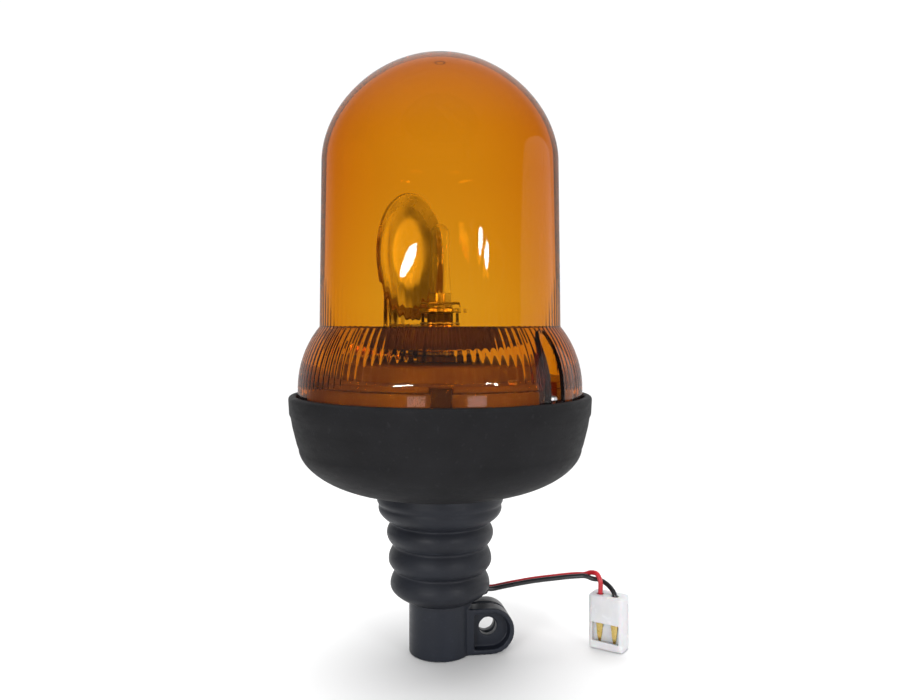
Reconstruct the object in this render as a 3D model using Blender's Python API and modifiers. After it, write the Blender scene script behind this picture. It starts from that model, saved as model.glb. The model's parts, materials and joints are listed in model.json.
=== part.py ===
"""Rotating warning beacon on a flexible pole mount.

An amber dome covers a halogen lamp and a reflector that a small motor turns round it. The head
sits in a rubber bowl on a rubber bellows, which ends in a split clamp socket for a 24 mm pole.
A short twin lead with a two-way connector leaves the bellows.

The origin is on the pole's axis at the socket's lower end, +Z is up and -Y is the front.
Lengths below are in millimetres; MM turns them into Blender's metres where a mesh is made.
"""
import math

import bmesh
import bpy
from mathutils import Matrix, Vector

MM = 0.001
GAP = 0.3  # left between pieces that touch
LARGE_STEPS = 32  # facets round the head
SMALL_STEPS = 16  # facets round small turned pieces

# Pole socket
SOCKET_RADIUS = 15.5
SOCKET_TOP = 40.0
BORE_RADIUS = 12.4
BORE_DEPTH = 36.0
EAR_TURN = math.radians(8)
EAR_HEIGHT = 22.6
EAR_REACH = 24.8  # from the pole's axis to the centre of the ears' round end
EAR_WIDTH = 19.0
WEB_WIDTH = 10.0
EAR_BORDER = 2.4
SLIT_WIDTH = 2.0
BOLT_REACH = 23.5
BOLT_HEIGHT = 12.4
BOLT_HOLE_RADIUS = 4.5

# Bellows: the crests and valleys of its outline, as (radius, height), from the top down
BELLOWS_TOP = 80.9
BELLOWS_NECK_RADIUS = 31.0
CONVOLUTIONS = [
    (31.6, 76.0), (30.5, 74.2), (30.9, 72.4), (24.3, 65.0), (26.7, 59.8), (23.2, 53.4), (25.8, 46.6),
    (22.2, 40.9), (24.9, 34.0), (16.6, 26.2),
]
CHANNEL_RADIUS = 6.0

# Rubber bowl
BOWL_BOTTOM = 81.2
BOWL_FLAT_RADIUS = 32.3
BOWL_SIDE_RADIUS = 70.0
BOWL_SIDE_HEIGHT = 103.0
BOWL_POWER = 1.75
BOWL_WALL = 3.0
LIP_RADIUS = 75.0
LIP_TOP = 129.0
LIP_INNER_RADIUS = 70.9

# Lens
LENS_WALL = 2.5
LENS_BOTTOM = 122.0
LENS_FOOT_RADIUS = 70.4
SKIRT_LOW = 132.5  # height where the skirt's curve starts
SKIRT_TOP = 162.4
SKIRT_ARC_RADIUS = 47.7
DOME_BASE = 243.9
DOME_RADIUS = 58.95
DOME_HEIGHT = 53.9
DOME_POWER = 1.864
LENS_TOP = DOME_BASE + DOME_HEIGHT
LENS_SCREW_RADIUS = 66.0
LENS_SCREW_ANGLES = [math.radians(-42), math.radians(138)]
POCKET_HALF_WIDTH = 5.0
POCKET_FLOOR = 129.3

# Base body and deck
BASE_WALL = 2.6
RIM_TOP = 134.0
RIM_RADIUS = 65.6
RIM_INNER_RADIUS = 60.0
FLANGE_TOP = 119.0
FLANGE_RADIUS = 69.3
KEY_TOP = 136.5  # the rib at the front that keeps the lens from turning
CABLE_HOLE_RADIUS = 9.5
DECK_TOP = 144.5
DECK_PLATE = 2.7
DECK_FLANGE_TOP = 137.0
DECK_RADIUS = 50.0
DECK_SCREW_RADIUS = 62.8
DECK_SCREW_ANGLES = [math.radians(a) for a in (60, 180, 300)]
CLAMP_SCREW_RADIUS = 20.0
CLAMP_SCREW_ANGLES = [math.radians(a) for a in (90, 210, 330)]

# Gear train: a pinion drives a compound idler, which drives the turntable
MODULE = 1.2
RING_TEETH = 60
IDLER_LARGE_TEETH = 30
IDLER_SMALL_TEETH = 10
PINION_TEETH = 10
IDLER_REACH = MODULE * (RING_TEETH + IDLER_SMALL_TEETH) / 2
MOTOR_SPACING = MODULE * (IDLER_LARGE_TEETH + PINION_TEETH) / 2
MOTOR_REACH = 34.0
IDLER_ANGLE = math.radians(120)
RING_LOW = 151.6
RING_TOP = 162.0

# Lamp and reflector
POST_RADIUS = 8.0
POST_BORE = 6.0
POST_TOP = 169.0
BULB_SEAT = 171.5
FILAMENT_HEIGHT = 198.0
BULB_TOP = 214.0
REFLECTOR_RADIUS = 31.5
REFLECTOR_FOCUS = 25.0
REFLECTOR_WALL = 1.1
REFLECTOR_FACING = math.radians(-30)  # the way it opens, from +X towards the front

# Lead and connector
CORE_RADIUS = 1.2
EXIT_ANGLE = math.radians(26)
EXIT_HEIGHT = 27.0
CONNECTOR_PLACE = Vector((85.5, 3.0, 0.0))
CONNECTOR_TURN = math.radians(-33)
CONNECTOR_SIZE = (18.4, 11.5, 27.0)
TERMINAL_SPACING = 7.8
WIRE_ROW = -1.6  # how far the wires come down in front of the housing's middle
BLADE_ROW = -2.7
PAIR_OFFSET = Vector((0, 1.31, 0.06))  # from the pair's middle to the red core's middle
PAIR_ROUTE = [
    (24.5, 11.95, 27.0), (27.8, 12.9, 26.9), (31.5, 13.4, 27.5), (36.0, 13.5, 28.4), (41.5, 13.3, 29.5),
    (47.0, 12.9, 30.6), (53.0, 12.4, 31.6), (59.0, 11.7, 32.5), (65.0, 10.8, 33.5), (70.5, 9.6, 34.3),
    (74.5, 8.5, 34.7),
]
RED_TAIL = [
    (77.2, 8.7, 36.0), (79.8, 5.6, 36.4), (81.2, 3.7, 33.8), (81.4, 3.5, 30.8), (81.36, 3.75, 28.0),
    (81.36, 3.78, 25.3), (81.36, 3.78, 21.0),
]
BLACK_TAIL = [
    (78.0, 7.2, 33.3), (81.4, 7.0, 32.9), (84.5, 4.9, 31.6), (86.8, 1.7, 29.6), (87.8, -0.1, 27.3),
    (87.9, -0.47, 24.8), (87.9, -0.47, 21.0),
]


# ---------------------------------------------------------------- scene and helpers

for old in list(bpy.data.objects):
    bpy.data.objects.remove(old)


def add_collection(name):
    collection = bpy.data.collections.new(name)
    bpy.context.scene.collection.children.link(collection)
    return collection


PARTS = add_collection("rotating_beacon")
CUTTERS = add_collection("cutters")


def principled(name, colour, roughness, metallic=0.0, alpha=1.0):
    material = bpy.data.materials.new(name)
    material.use_nodes = True
    shader = material.node_tree.nodes["Principled BSDF"]
    shader.inputs["Base Color"].default_value = (*colour, 1.0)
    shader.inputs["Roughness"].default_value = roughness
    shader.inputs["Metallic"].default_value = metallic
    shader.inputs["Alpha"].default_value = alpha
    return material


SOCKET_NYLON = principled("socket_nylon", (0.020, 0.022, 0.030), 0.5)
BELLOWS_RUBBER = principled("bellows_rubber", (0.018, 0.019, 0.024), 0.65)
BOWL_RUBBER = principled("bowl_rubber", (0.017, 0.017, 0.019), 0.7)
BLACK_PLASTIC = principled("black_plastic", (0.02, 0.02, 0.02), 0.45)
GREY_PLASTIC = principled("grey_plastic", (0.16, 0.15, 0.145), 0.5)
AMBER_LENS = principled("amber_lens", (0.80, 0.25, 0.01), 0.08, alpha=0.5)
GEAR_PLASTIC = principled("gear_plastic", (0.045, 0.034, 0.030), 0.4)
MIRROR = principled("mirror", (0.9, 0.9, 0.9), 0.05, 1.0)
STEEL = principled("steel", (0.6, 0.6, 0.62), 0.3, 1.0)
BRASS = principled("brass", (0.80, 0.60, 0.22), 0.3, 1.0)
CLEAR_GLASS = principled("clear_glass", (0.95, 0.95, 0.95), 0.02, alpha=0.3)
TUNGSTEN = principled("tungsten", (0.35, 0.33, 0.32), 0.4, 1.0)
RED_PVC = principled("red_pvc", (0.55, 0.02, 0.03), 0.4)
BLACK_PVC = principled("black_pvc", (0.015, 0.015, 0.015), 0.4)
WHITE_NYLON = principled("white_nylon", (0.85, 0.85, 0.84), 0.4)


def place(name, mesh, material, helper):
    """Links a mesh as a part, or as a cutter, which has no material and isn't rendered."""
    obj = bpy.data.objects.new(name, mesh)
    if helper:
        CUTTERS.objects.link(obj)
        obj.hide_render = True
        obj.display_type = "WIRE"
    else:
        PARTS.objects.link(obj)
        mesh.materials.append(material)
    return obj


def turned(name, outline, material=None, steps=SMALL_STEPS, centre=(0, 0), helper=False):
    """A solid of revolution about a vertical axis through centre.

    outline lists (radius, height) down the outer side and back up the inner side. It closes by
    itself, unless both its ends lie on the axis.
    """
    mesh = bpy.data.meshes.new(name)
    points = [(r * MM, 0, z * MM) for r, z in outline]
    edges = [(i, i + 1) for i in range(len(points) - 1)]
    if outline[0][0] > 0:
        edges.append((len(points) - 1, 0))
    mesh.from_pydata(points, edges, [])
    obj = place(name, mesh, material, helper)
    obj.location = (centre[0] * MM, centre[1] * MM, 0)
    screw = obj.modifiers.new("turn", "SCREW")
    screw.steps = screw.render_steps = steps
    screw.use_merge_vertices = True
    screw.merge_threshold = 1e-5
    return obj


def cylinder(name, radius, low, high, material=None, centre=(0, 0), steps=SMALL_STEPS, helper=False):
    outline = [(0, high), (radius, high), (radius, low), (0, low)]
    return turned(name, outline, material, steps, centre, helper)


def box(name, size, centre, material=None, turn=0.0, helper=False, bevel=0.0):
    form = bmesh.new()
    bmesh.ops.create_cube(form, size=1.0)
    bmesh.ops.scale(form, vec=Vector(size) * MM, verts=form.verts)
    mesh = bpy.data.meshes.new(name)
    form.to_mesh(mesh)
    form.free()
    obj = place(name, mesh, material, helper)
    obj.location = Vector(centre) * MM
    obj.rotation_euler = (0, 0, turn)
    if bevel:
        edge = obj.modifiers.new("edges", "BEVEL")
        edge.width = bevel * MM
        edge.segments = 2
    return obj


def as_mesh(curve_object, material, helper):
    """Swaps a curve object for a mesh object with welded caps at the same place."""
    graph = bpy.context.evaluated_depsgraph_get()
    graph.update()
    mesh = bpy.data.meshes.new_from_object(curve_object.evaluated_get(graph))
    form = bmesh.new()
    form.from_mesh(mesh)
    bmesh.ops.remove_doubles(form, verts=form.verts, dist=1e-6)
    form.to_mesh(mesh)
    form.free()
    mesh.materials.clear()
    name, matrix = curve_object.name, curve_object.matrix_world.copy()
    bpy.data.objects.remove(curve_object)
    obj = place(name, mesh, material, helper)
    obj.matrix_world = matrix
    return obj


def prism(name, outlines, thickness, matrix, material=None, helper=False):
    """Flat outlines in the local XY plane, the later ones holes, thickened about that plane."""
    curve = bpy.data.curves.new(name, "CURVE")
    curve.dimensions = "2D"
    curve.fill_mode = "BOTH"
    curve.extrude = thickness / 2 * MM
    curve.render_resolution_u = 0
    for outline in outlines:
        spline = curve.splines.new("POLY")
        spline.points.add(len(outline) - 1)
        for point, (x, y) in zip(spline.points, outline):
            point.co = (x * MM, y * MM, 0, 1)
        spline.use_cyclic_u = True
    obj = bpy.data.objects.new(name, curve)
    bpy.context.scene.collection.objects.link(obj)
    obj.matrix_world = matrix
    bpy.context.view_layer.update()
    return as_mesh(obj, material, helper)


def smooth_path(route, spacing):
    """Points about spacing apart on a smooth curve through the route's own points."""
    ends = [2 * Vector(route[0]) - Vector(route[1]), 2 * Vector(route[-1]) - Vector(route[-2])]
    points = [ends[0], *map(Vector, route), ends[1]]
    path = []
    for before, start, end, after in zip(points, points[1:], points[2:], points[3:]):
        count = max(1, round((end - start).length / spacing))
        for i in range(count):
            t = i / count
            path.append(
                0.5
                * (
                    2 * start
                    + (end - before) * t
                    + (2 * before - 5 * start + 4 * end - after) * t**2
                    + (3 * start - before - 3 * end + after) * t**3
                )
            )
    return [*path, points[-2]]


def tube(name, route, radius, material=None, spacing=6.0, helper=False):
    curve = bpy.data.curves.new(name, "CURVE")
    curve.dimensions = "3D"
    curve.bevel_depth = radius * MM
    curve.bevel_resolution = 2
    curve.use_fill_caps = True
    curve.render_resolution_u = 0
    path = smooth_path(route, spacing)
    spline = curve.splines.new("POLY")
    spline.points.add(len(path) - 1)
    for point, place_on_path in zip(spline.points, path):
        point.co = (*(place_on_path * MM), 1)
    obj = bpy.data.objects.new(name, curve)
    bpy.context.scene.collection.objects.link(obj)
    return as_mesh(obj, material, helper)


def shape(target, tool, operation="DIFFERENCE"):
    modifier = target.modifiers.new(tool.name, "BOOLEAN")
    modifier.operation = operation
    modifier.object = tool


def bores(name, radius, low, high, places, targets):
    """Upright round holes with one cutter for each place."""
    for number, centre in enumerate(places, 1):
        tool = cylinder(f"{name}_{number}", radius, low, high, centre=centre, steps=12, helper=True)
        for target in targets:
            shape(target, tool)


def polar(radius, angle):
    return (radius * math.cos(angle), radius * math.sin(angle))


def arc(centre, radius, start, end, count):
    """count + 1 points on an arc, with its angles in degrees."""
    angles = [math.radians(start + (end - start) * i / count) for i in range(count + 1)]
    return [(centre[0] + radius * math.cos(a), centre[1] + radius * math.sin(a)) for a in angles]


def pan_screw(name, centre, seat, tip, head_radius, head_height, shank_radius, material=STEEL):
    outline = [
        (0, seat + head_height), (head_radius * 0.7, seat + head_height),
        (head_radius, seat + head_height * 0.4), (head_radius, seat), (shank_radius, seat),
        (shank_radius, tip), (0, tip),
    ]
    return turned(name, outline, material, 10, centre)


# ---------------------------------------------------------------- pole socket and bellows

def make_pole_socket():
    outline = [
        (0, SOCKET_TOP), (SOCKET_RADIUS, SOCKET_TOP), (SOCKET_RADIUS, 1.2), (SOCKET_RADIUS - 1, 0), (0, 0),
    ]
    socket = turned("pole_socket", outline, SOCKET_NYLON, 32)
    middle = EAR_HEIGHT / 2
    upright = Matrix.Rotation(EAR_TURN, 4, "Z") @ Matrix.Rotation(math.pi / 2, 4, "X")

    def ear_outline(border):
        end = arc((EAR_REACH, middle), middle - border, -90, 90, 9)
        return [(8, border), *end, (8, EAR_HEIGHT - border)]

    ears = prism("ears", [ear_outline(0)], EAR_WIDTH, upright, helper=True)
    depth = (EAR_WIDTH - WEB_WIDTH) / 2
    for side in (-1, 1):
        offset = Matrix.Translation((0, 0, side * (WEB_WIDTH / 2 + depth) * MM))
        recess = [ear_outline(EAR_BORDER)]
        shape(ears, prism(f"ear_recess_{side + 2}", recess, 2 * depth, upright @ offset, helper=True))
    shape(socket, ears, "UNION")
    bore = [
        (0, BORE_DEPTH), (BORE_RADIUS, BORE_DEPTH), (BORE_RADIUS, 0.7), (BORE_RADIUS + 1.2, -0.5), (0, -0.5),
    ]
    shape(socket, turned("pole_bore", bore, steps=32, helper=True))
    slit_length = 40.0
    along = polar(slit_length / 2 + 6, EAR_TURN)
    shape(socket, box("slit", (slit_length, SLIT_WIDTH, 27), (*along, 11.5), turn=EAR_TURN, helper=True))
    bolt = [arc((BOLT_REACH, BOLT_HEIGHT), BOLT_HOLE_RADIUS, 0, 342, 19)]
    shape(socket, prism("bolt_hole", bolt, EAR_WIDTH + 4, upright, helper=True))
    return socket


def convolutions(extremes, steps):
    """Points on full, round crests that meet in narrow valleys, from each extreme to the next."""
    points = []
    for (r0, z0), (r1, z1) in zip(extremes, extremes[1:]):
        for t in steps:
            fall = t * t if r0 > r1 else 1 - (1 - t) ** 2
            points.append((r0 + (r1 - r0) * fall, z0 + (z1 - z0) * t))
    return [*points, extremes[-1]]


def lead_channel_route():
    """From the head down the middle of the bellows, then past the socket's top to the exit."""
    def at(radius, height):
        return (*polar(radius, EXIT_ANGLE), height)

    return [
        (0, 0, 84.0), (0, 0, 70), (0, 0, 58), at(2.0, 51), at(7.5, 47), at(13.0, 45.0), at(16.8, 42.4),
        at(18.6, 38.6), at(19.0, 34.5), at(19.6, 31.2), at(21.0, EXIT_HEIGHT + 0.6),
    ]


def make_bellows():
    grip = SOCKET_RADIUS + GAP
    outline = [
        (BELLOWS_NECK_RADIUS, BELLOWS_TOP), *convolutions(CONVOLUTIONS, (0, 0.45, 0.75)), (grip, 26.0),
        (grip, SOCKET_TOP + GAP), (CHANNEL_RADIUS, SOCKET_TOP + GAP), (CHANNEL_RADIUS, BELLOWS_TOP),
    ]
    bellows = turned("bellows", outline, BELLOWS_RUBBER, 28)
    route = lead_channel_route()
    shape(bellows, tube("lead_channel", route[3:], 2.4, spacing=4, helper=True))
    inserts = [polar(CLAMP_SCREW_RADIUS, angle) for angle in CLAMP_SCREW_ANGLES]
    bores("insert_bore", 2.1, 72.5, 82, inserts, [bellows])
    out = Vector((*polar(1, EXIT_ANGLE), 0))
    sideways = out.to_track_quat("Z", "Y").to_matrix().to_4x4()
    seat = Matrix.Translation(Vector((*polar(23.2, EXIT_ANGLE), EXIT_HEIGHT)) * MM) @ sideways
    shape(bellows, prism("grommet_seat", [arc((0, 0), 3.4, 0, 330, 11)], 5.6, seat, helper=True))
    grommet_at = Matrix.Translation(Vector((*polar(24.0, EXIT_ANGLE), EXIT_HEIGHT)) * MM) @ sideways
    prism("lead_grommet", [arc((0, 0), 3.0, 0, 330, 11)], 4.4, grommet_at, BELLOWS_RUBBER)
    tube("neck_cable", route[:-1], 1.9, BLACK_PVC, spacing=5)
    return bellows


# ---------------------------------------------------------------- bowl, base and deck

def bowl_curve(offset, count=4):
    """The bowl's rounded underside moved inwards by offset, from its side to its flat bottom."""
    across = BOWL_SIDE_RADIUS - BOWL_FLAT_RADIUS - offset
    down = BOWL_SIDE_HEIGHT - BOWL_BOTTOM - offset
    points = []
    for i in range(count + 1):
        angle = math.pi / 2 * i / count
        radius = BOWL_FLAT_RADIUS + across * math.cos(angle) ** (2 / BOWL_POWER)
        points.append((radius, BOWL_SIDE_HEIGHT - down * math.sin(angle) ** (2 / BOWL_POWER)))
    return points


def make_rubber_bowl():
    outline = [
        (LIP_INNER_RADIUS, LIP_TOP), (LIP_RADIUS - 1.6, LIP_TOP - 0.3), (LIP_RADIUS - 0.4, LIP_TOP - 1.2),
        (LIP_RADIUS, LIP_TOP - 2.8), (LIP_RADIUS - 0.5, 120), (LIP_RADIUS - 1.2, 118.4),
        *bowl_curve(0, 6), (9.2, BOWL_BOTTOM), (9.2, BOWL_BOTTOM + BOWL_WALL),
        *reversed(bowl_curve(BOWL_WALL)), (LIP_INNER_RADIUS, 118),
    ]
    return turned("rubber_bowl", outline, BOWL_RUBBER, LARGE_STEPS)


def pocket_outline(half_width, inner_radius, outer_radius):
    """A slot open outwards with a round inner end, along +X."""
    end = arc((inner_radius, 0), half_width, 90, 270, 6)
    return [(outer_radius, half_width), *end, (outer_radius, -half_width)]


def screw_pocket(name, half_width, outer_radius, low, high, angle):
    turn = Matrix.Translation((0, 0, (low + high) / 2 * MM)) @ Matrix.Rotation(angle, 4, "Z")
    outline = pocket_outline(half_width, LENS_SCREW_RADIUS, outer_radius)
    return prism(name, [outline], high - low, turn, helper=True)


def make_base():
    skin = BOWL_WALL + GAP + 0.1
    outline = [
        (RIM_RADIUS, RIM_TOP), (RIM_RADIUS, FLANGE_TOP), (FLANGE_RADIUS, FLANGE_TOP),
        (FLANGE_RADIUS, 116.6),
        *bowl_curve(skin), (CABLE_HOLE_RADIUS, BOWL_BOTTOM + skin),
        (CABLE_HOLE_RADIUS, BOWL_BOTTOM + skin + BASE_WALL), *reversed(bowl_curve(skin + BASE_WALL)),
        (RIM_INNER_RADIUS, 112), (RIM_INNER_RADIUS, RIM_TOP),
    ]
    base = turned("base_body", outline, GREY_PLASTIC, LARGE_STEPS)
    key_low = FLANGE_TOP - 1
    key_size = (9.0, 4.4, KEY_TOP - key_low)
    key_centre = (0.5, -64.7, (KEY_TOP + key_low) / 2)
    shape(base, box("locating_key", key_size, key_centre, helper=True), "UNION")

    deck_inner = DECK_RADIUS - 2.8
    deck_outline = [
        (5.2, DECK_TOP), (DECK_RADIUS - 0.8, DECK_TOP), (DECK_RADIUS, DECK_TOP - 0.8),
        (DECK_RADIUS, DECK_FLANGE_TOP), (RIM_RADIUS - 0.2, DECK_FLANGE_TOP),
        (RIM_RADIUS - 0.2, RIM_TOP + GAP), (deck_inner, RIM_TOP + GAP), (deck_inner, DECK_TOP - DECK_PLATE),
        (5.2, DECK_TOP - DECK_PLATE),
    ]
    deck = turned("motor_deck", deck_outline, GREY_PLASTIC, LARGE_STEPS)
    for number, angle in enumerate(LENS_SCREW_ANGLES, 1):
        half_width = POCKET_HALF_WIDTH + LENS_WALL + 0.6
        notch = screw_pocket(f"rim_notch_{number}", half_width, 80, 121.5, 140, angle)
        shape(base, notch)
        shape(deck, notch)
    key_notch = (key_size[0] + 0.8, key_size[1] + 1.6, DECK_FLANGE_TOP - RIM_TOP + 2)
    shape(deck, box("key_notch", key_notch, (0.5, -65.1, (DECK_FLANGE_TOP + RIM_TOP) / 2), helper=True))
    screws = [polar(LENS_SCREW_RADIUS, angle) for angle in LENS_SCREW_ANGLES]
    bores("lens_screw_pilot", 1.9, 111.6, 123, screws, [base])
    deck_places = [polar(DECK_SCREW_RADIUS, a) for a in DECK_SCREW_ANGLES]
    bores("deck_screw_pilot", 1.7, 124.5, 138, deck_places, [base, deck])
    for number, at in enumerate(deck_places, 1):
        pan_screw(f"deck_screw_{number}", at, DECK_FLANGE_TOP + GAP, 125.0, 2.5, 1.8, 1.4)
    return base, deck


def make_neck_clamp(base, bowl):
    """The steel ring inside the base, whose screws hold the bowl and the bellows to it."""
    floor = BOWL_BOTTOM + BOWL_WALL + GAP + 0.1 + BASE_WALL + GAP
    outline = [(12, floor + 1.5), (29, floor + 1.5), (29, floor), (12, floor)]
    ring = turned("clamp_ring", outline, STEEL, LARGE_STEPS)
    places = [polar(CLAMP_SCREW_RADIUS, a) for a in CLAMP_SCREW_ANGLES]
    bores("clamp_bore", 2.1, 80.95, floor + 3, places, [ring, base, bowl])
    seat = floor + 1.5 + GAP
    for number, at in enumerate(places, 1):
        pan_screw(f"clamp_screw_{number}", at, seat, 74, 3.6, 2.4, 1.8)


# ---------------------------------------------------------------- lens

def lens_curve(inset, dome_count, skirt_count):
    """The lens's outline moved inwards by inset, from the top of the dome to the skirt's foot."""
    points = [(0, LENS_TOP - inset)]
    for i in range(dome_count):
        angle = math.pi / 2 * (1 - (i + 1) / dome_count)
        across = max(math.cos(angle), 0) ** (2 / DOME_POWER)
        up = max(math.sin(angle), 0) ** (2 / DOME_POWER)
        points.append(((DOME_RADIUS - inset) * across, DOME_BASE + (DOME_HEIGHT - inset) * up))
    centre = (LENS_FOOT_RADIUS - SKIRT_ARC_RADIUS, SKIRT_LOW)
    steepest = math.degrees(math.asin((SKIRT_TOP - SKIRT_LOW) / SKIRT_ARC_RADIUS))
    points += arc(centre, SKIRT_ARC_RADIUS - inset, steepest, 0, skirt_count)
    return [*points, (LENS_FOOT_RADIUS - inset, LENS_BOTTOM)]


def make_lens():
    outer = lens_curve(0, 8, 4)
    inner = lens_curve(LENS_WALL, 6, 3)
    lens = turned("lens", [*outer, *reversed(inner)], AMBER_LENS, LARGE_STEPS)
    envelope = turned("lens_envelope", [*outer, (0, LENS_BOTTOM)], steps=LARGE_STEPS, helper=True)
    for number, angle in enumerate(LENS_SCREW_ANGLES, 1):
        half_width = POCKET_HALF_WIDTH + LENS_WALL
        tower = screw_pocket(f"screw_tower_{number}", half_width, 72, LENS_BOTTOM, 161, angle)
        shape(tower, envelope, "INTERSECT")
        shape(lens, tower, "UNION")
        shape(lens, screw_pocket(f"screw_pocket_{number}", POCKET_HALF_WIDTH, 80, POCKET_FLOOR, 166, angle))
    places = [polar(LENS_SCREW_RADIUS, a) for a in LENS_SCREW_ANGLES]
    bores("lens_screw_bore", 2.1, LENS_BOTTOM - 1, POCKET_FLOOR + 1, places, [lens])
    for number, at in enumerate(places, 1):
        pan_screw(f"lens_screw_{number}", at, POCKET_FLOOR + GAP, 113, 3.4, 2.2, 1.6)
    inside = LENS_FOOT_RADIUS - LENS_WALL
    low, high = FLANGE_TOP + GAP, LENS_BOTTOM - GAP
    ring = [(inside, high), (LENS_FOOT_RADIUS - 0.2, high), (LENS_FOOT_RADIUS - 0.2, low), (inside, low)]
    turned("lens_gasket", ring, BOWL_RUBBER, LARGE_STEPS)
    return lens


# ---------------------------------------------------------------- motor and gears

def gear_outline(teeth, phase):
    """Straight-sided teeth with room for play. phase is the direction of one tooth's middle."""
    pitch_radius = MODULE * teeth / 2
    root, tip = pitch_radius - 1.1 * MODULE, pitch_radius + 0.8 * MODULE
    root_half, tip_half = 0.88 * MODULE / root, 0.32 * MODULE / tip
    points = []
    for tooth in range(teeth):
        middle = phase + 2 * math.pi * tooth / teeth
        for radius, offset in ((root, -root_half), (tip, -tip_half), (tip, tip_half), (root, root_half)):
            points.append(polar(radius, middle + offset))
    return points


def gear_places():
    """The idler's and the motor's places, and the direction from the idler to the motor."""
    idler = Vector(polar(IDLER_REACH, IDLER_ANGLE))
    spread = (IDLER_REACH**2 + MOTOR_REACH**2 - MOTOR_SPACING**2) / (2 * IDLER_REACH * MOTOR_REACH)
    motor = Vector(polar(MOTOR_REACH, IDLER_ANGLE + math.acos(spread)))
    between = motor - idler
    return idler, motor, math.atan2(between.y, between.x)


def gear(name, teeth, phase, bore, low, high, centre, material=None, helper=False):
    at = Matrix.Translation(Vector((centre[0], centre[1], (low + high) / 2)) * MM)
    hole = arc((0, 0), bore, 0, 337.5, 15)
    return prism(name, [gear_outline(teeth, phase), hole], high - low, at, material, helper)


def make_motor(deck):
    motor, towards = gear_places()[1:]
    can_outline = [(0, 141.5), (11.2, 141.5), (12, 140.7), (12, 114), (0, 114)]
    can = turned("motor_can", can_outline, STEEL, 18, motor)
    cap = [(0, 113.7), (11.4, 113.7), (11.4, 110.5), (10.4, 109.5), (0, 109.5)]
    turned("motor_end_cap", cap, BLACK_PLASTIC, 18, motor)
    shape(can, cylinder("shaft_bore", 1.3, 119, 143, centre=motor, steps=12, helper=True))
    bores("shaft_hole", 3.2, 141, 146, [motor], [deck])
    across = Vector((-math.sin(towards), math.cos(towards)))
    screw_places = [motor + across * 8, motor - across * 8]
    bores("motor_screw_bore", 1.3, 137, 146, screw_places, [deck, can])
    for number, at in enumerate(screw_places, 1):
        pan_screw(f"motor_screw_{number}", at, DECK_TOP + GAP, 138, 1.9, 1.1, 0.95)
    for number, side in enumerate((-6, 6), 1):
        place = (*(motor + across * side), 106.7)
        box(f"motor_terminal_{number}", (0.6, 3.0, 5.0), place, BRASS, turn=towards)
    cylinder("motor_shaft", 1.0, 119.5, 151, STEEL, motor, steps=12)
    opposite = towards + math.pi
    gear("motor_pinion", PINION_TEETH, opposite + math.pi / PINION_TEETH, 1.3, 146.2, 150.2, motor, BRASS)


def make_idler(deck):
    idler, _, towards = gear_places()
    large = gear("idler_gear", IDLER_LARGE_TEETH, towards, 1.9, 146.5, 149.6, idler, GEAR_PLASTIC)
    ring_side = IDLER_ANGLE + math.pi + math.pi / IDLER_SMALL_TEETH
    small = gear("idler_small", IDLER_SMALL_TEETH, ring_side, 1.9, 149.3, 160, idler, helper=True)
    shape(large, small, "UNION")
    bores("idler_pin_hole", 1.8, 139, 146, [idler], [deck])
    pin = [(0, 162.2), (1.2, 162.2), (1.5, 161.9), (1.5, 141.5), (2.8, 141.5), (2.8, 139.8), (0, 139.8)]
    turned("idler_pin", pin, STEEL, 12, idler)
    clip = [(1.8, 161.1), (3.4, 161.1), (3.4, 160.4), (1.8, 160.4)]
    turned("idler_clip", clip, STEEL, 12, idler)


def make_turntable():
    ring = gear("turntable_gear", RING_TEETH, 0, 9.8, RING_LOW, RING_TOP, (0, 0), GEAR_PLASTIC)
    hollow = [(13.5, 159.2), (32.8, 159.2), (32.8, 150), (13.5, 150)]
    shape(ring, turned("turntable_hollow", hollow, steps=LARGE_STEPS, helper=True))
    bush = [(8.4, 163), (9.3, 163), (9.3, 151.3), (12, 151.3), (12, 150.1), (8.4, 150.1)]
    turned("turntable_bush", bush, BRASS, 18)
    washer = [(8.4, 149.7), (12, 149.7), (12, 148.4), (8.4, 148.4)]
    turned("thrust_washer", washer, STEEL, 18)
    clip = [(8.35, 164.4), (10.6, 164.4), (10.6, 163.4), (8.35, 163.4)]
    turned("turntable_clip", clip, STEEL, 18)


# ---------------------------------------------------------------- lamp and reflector

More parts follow.
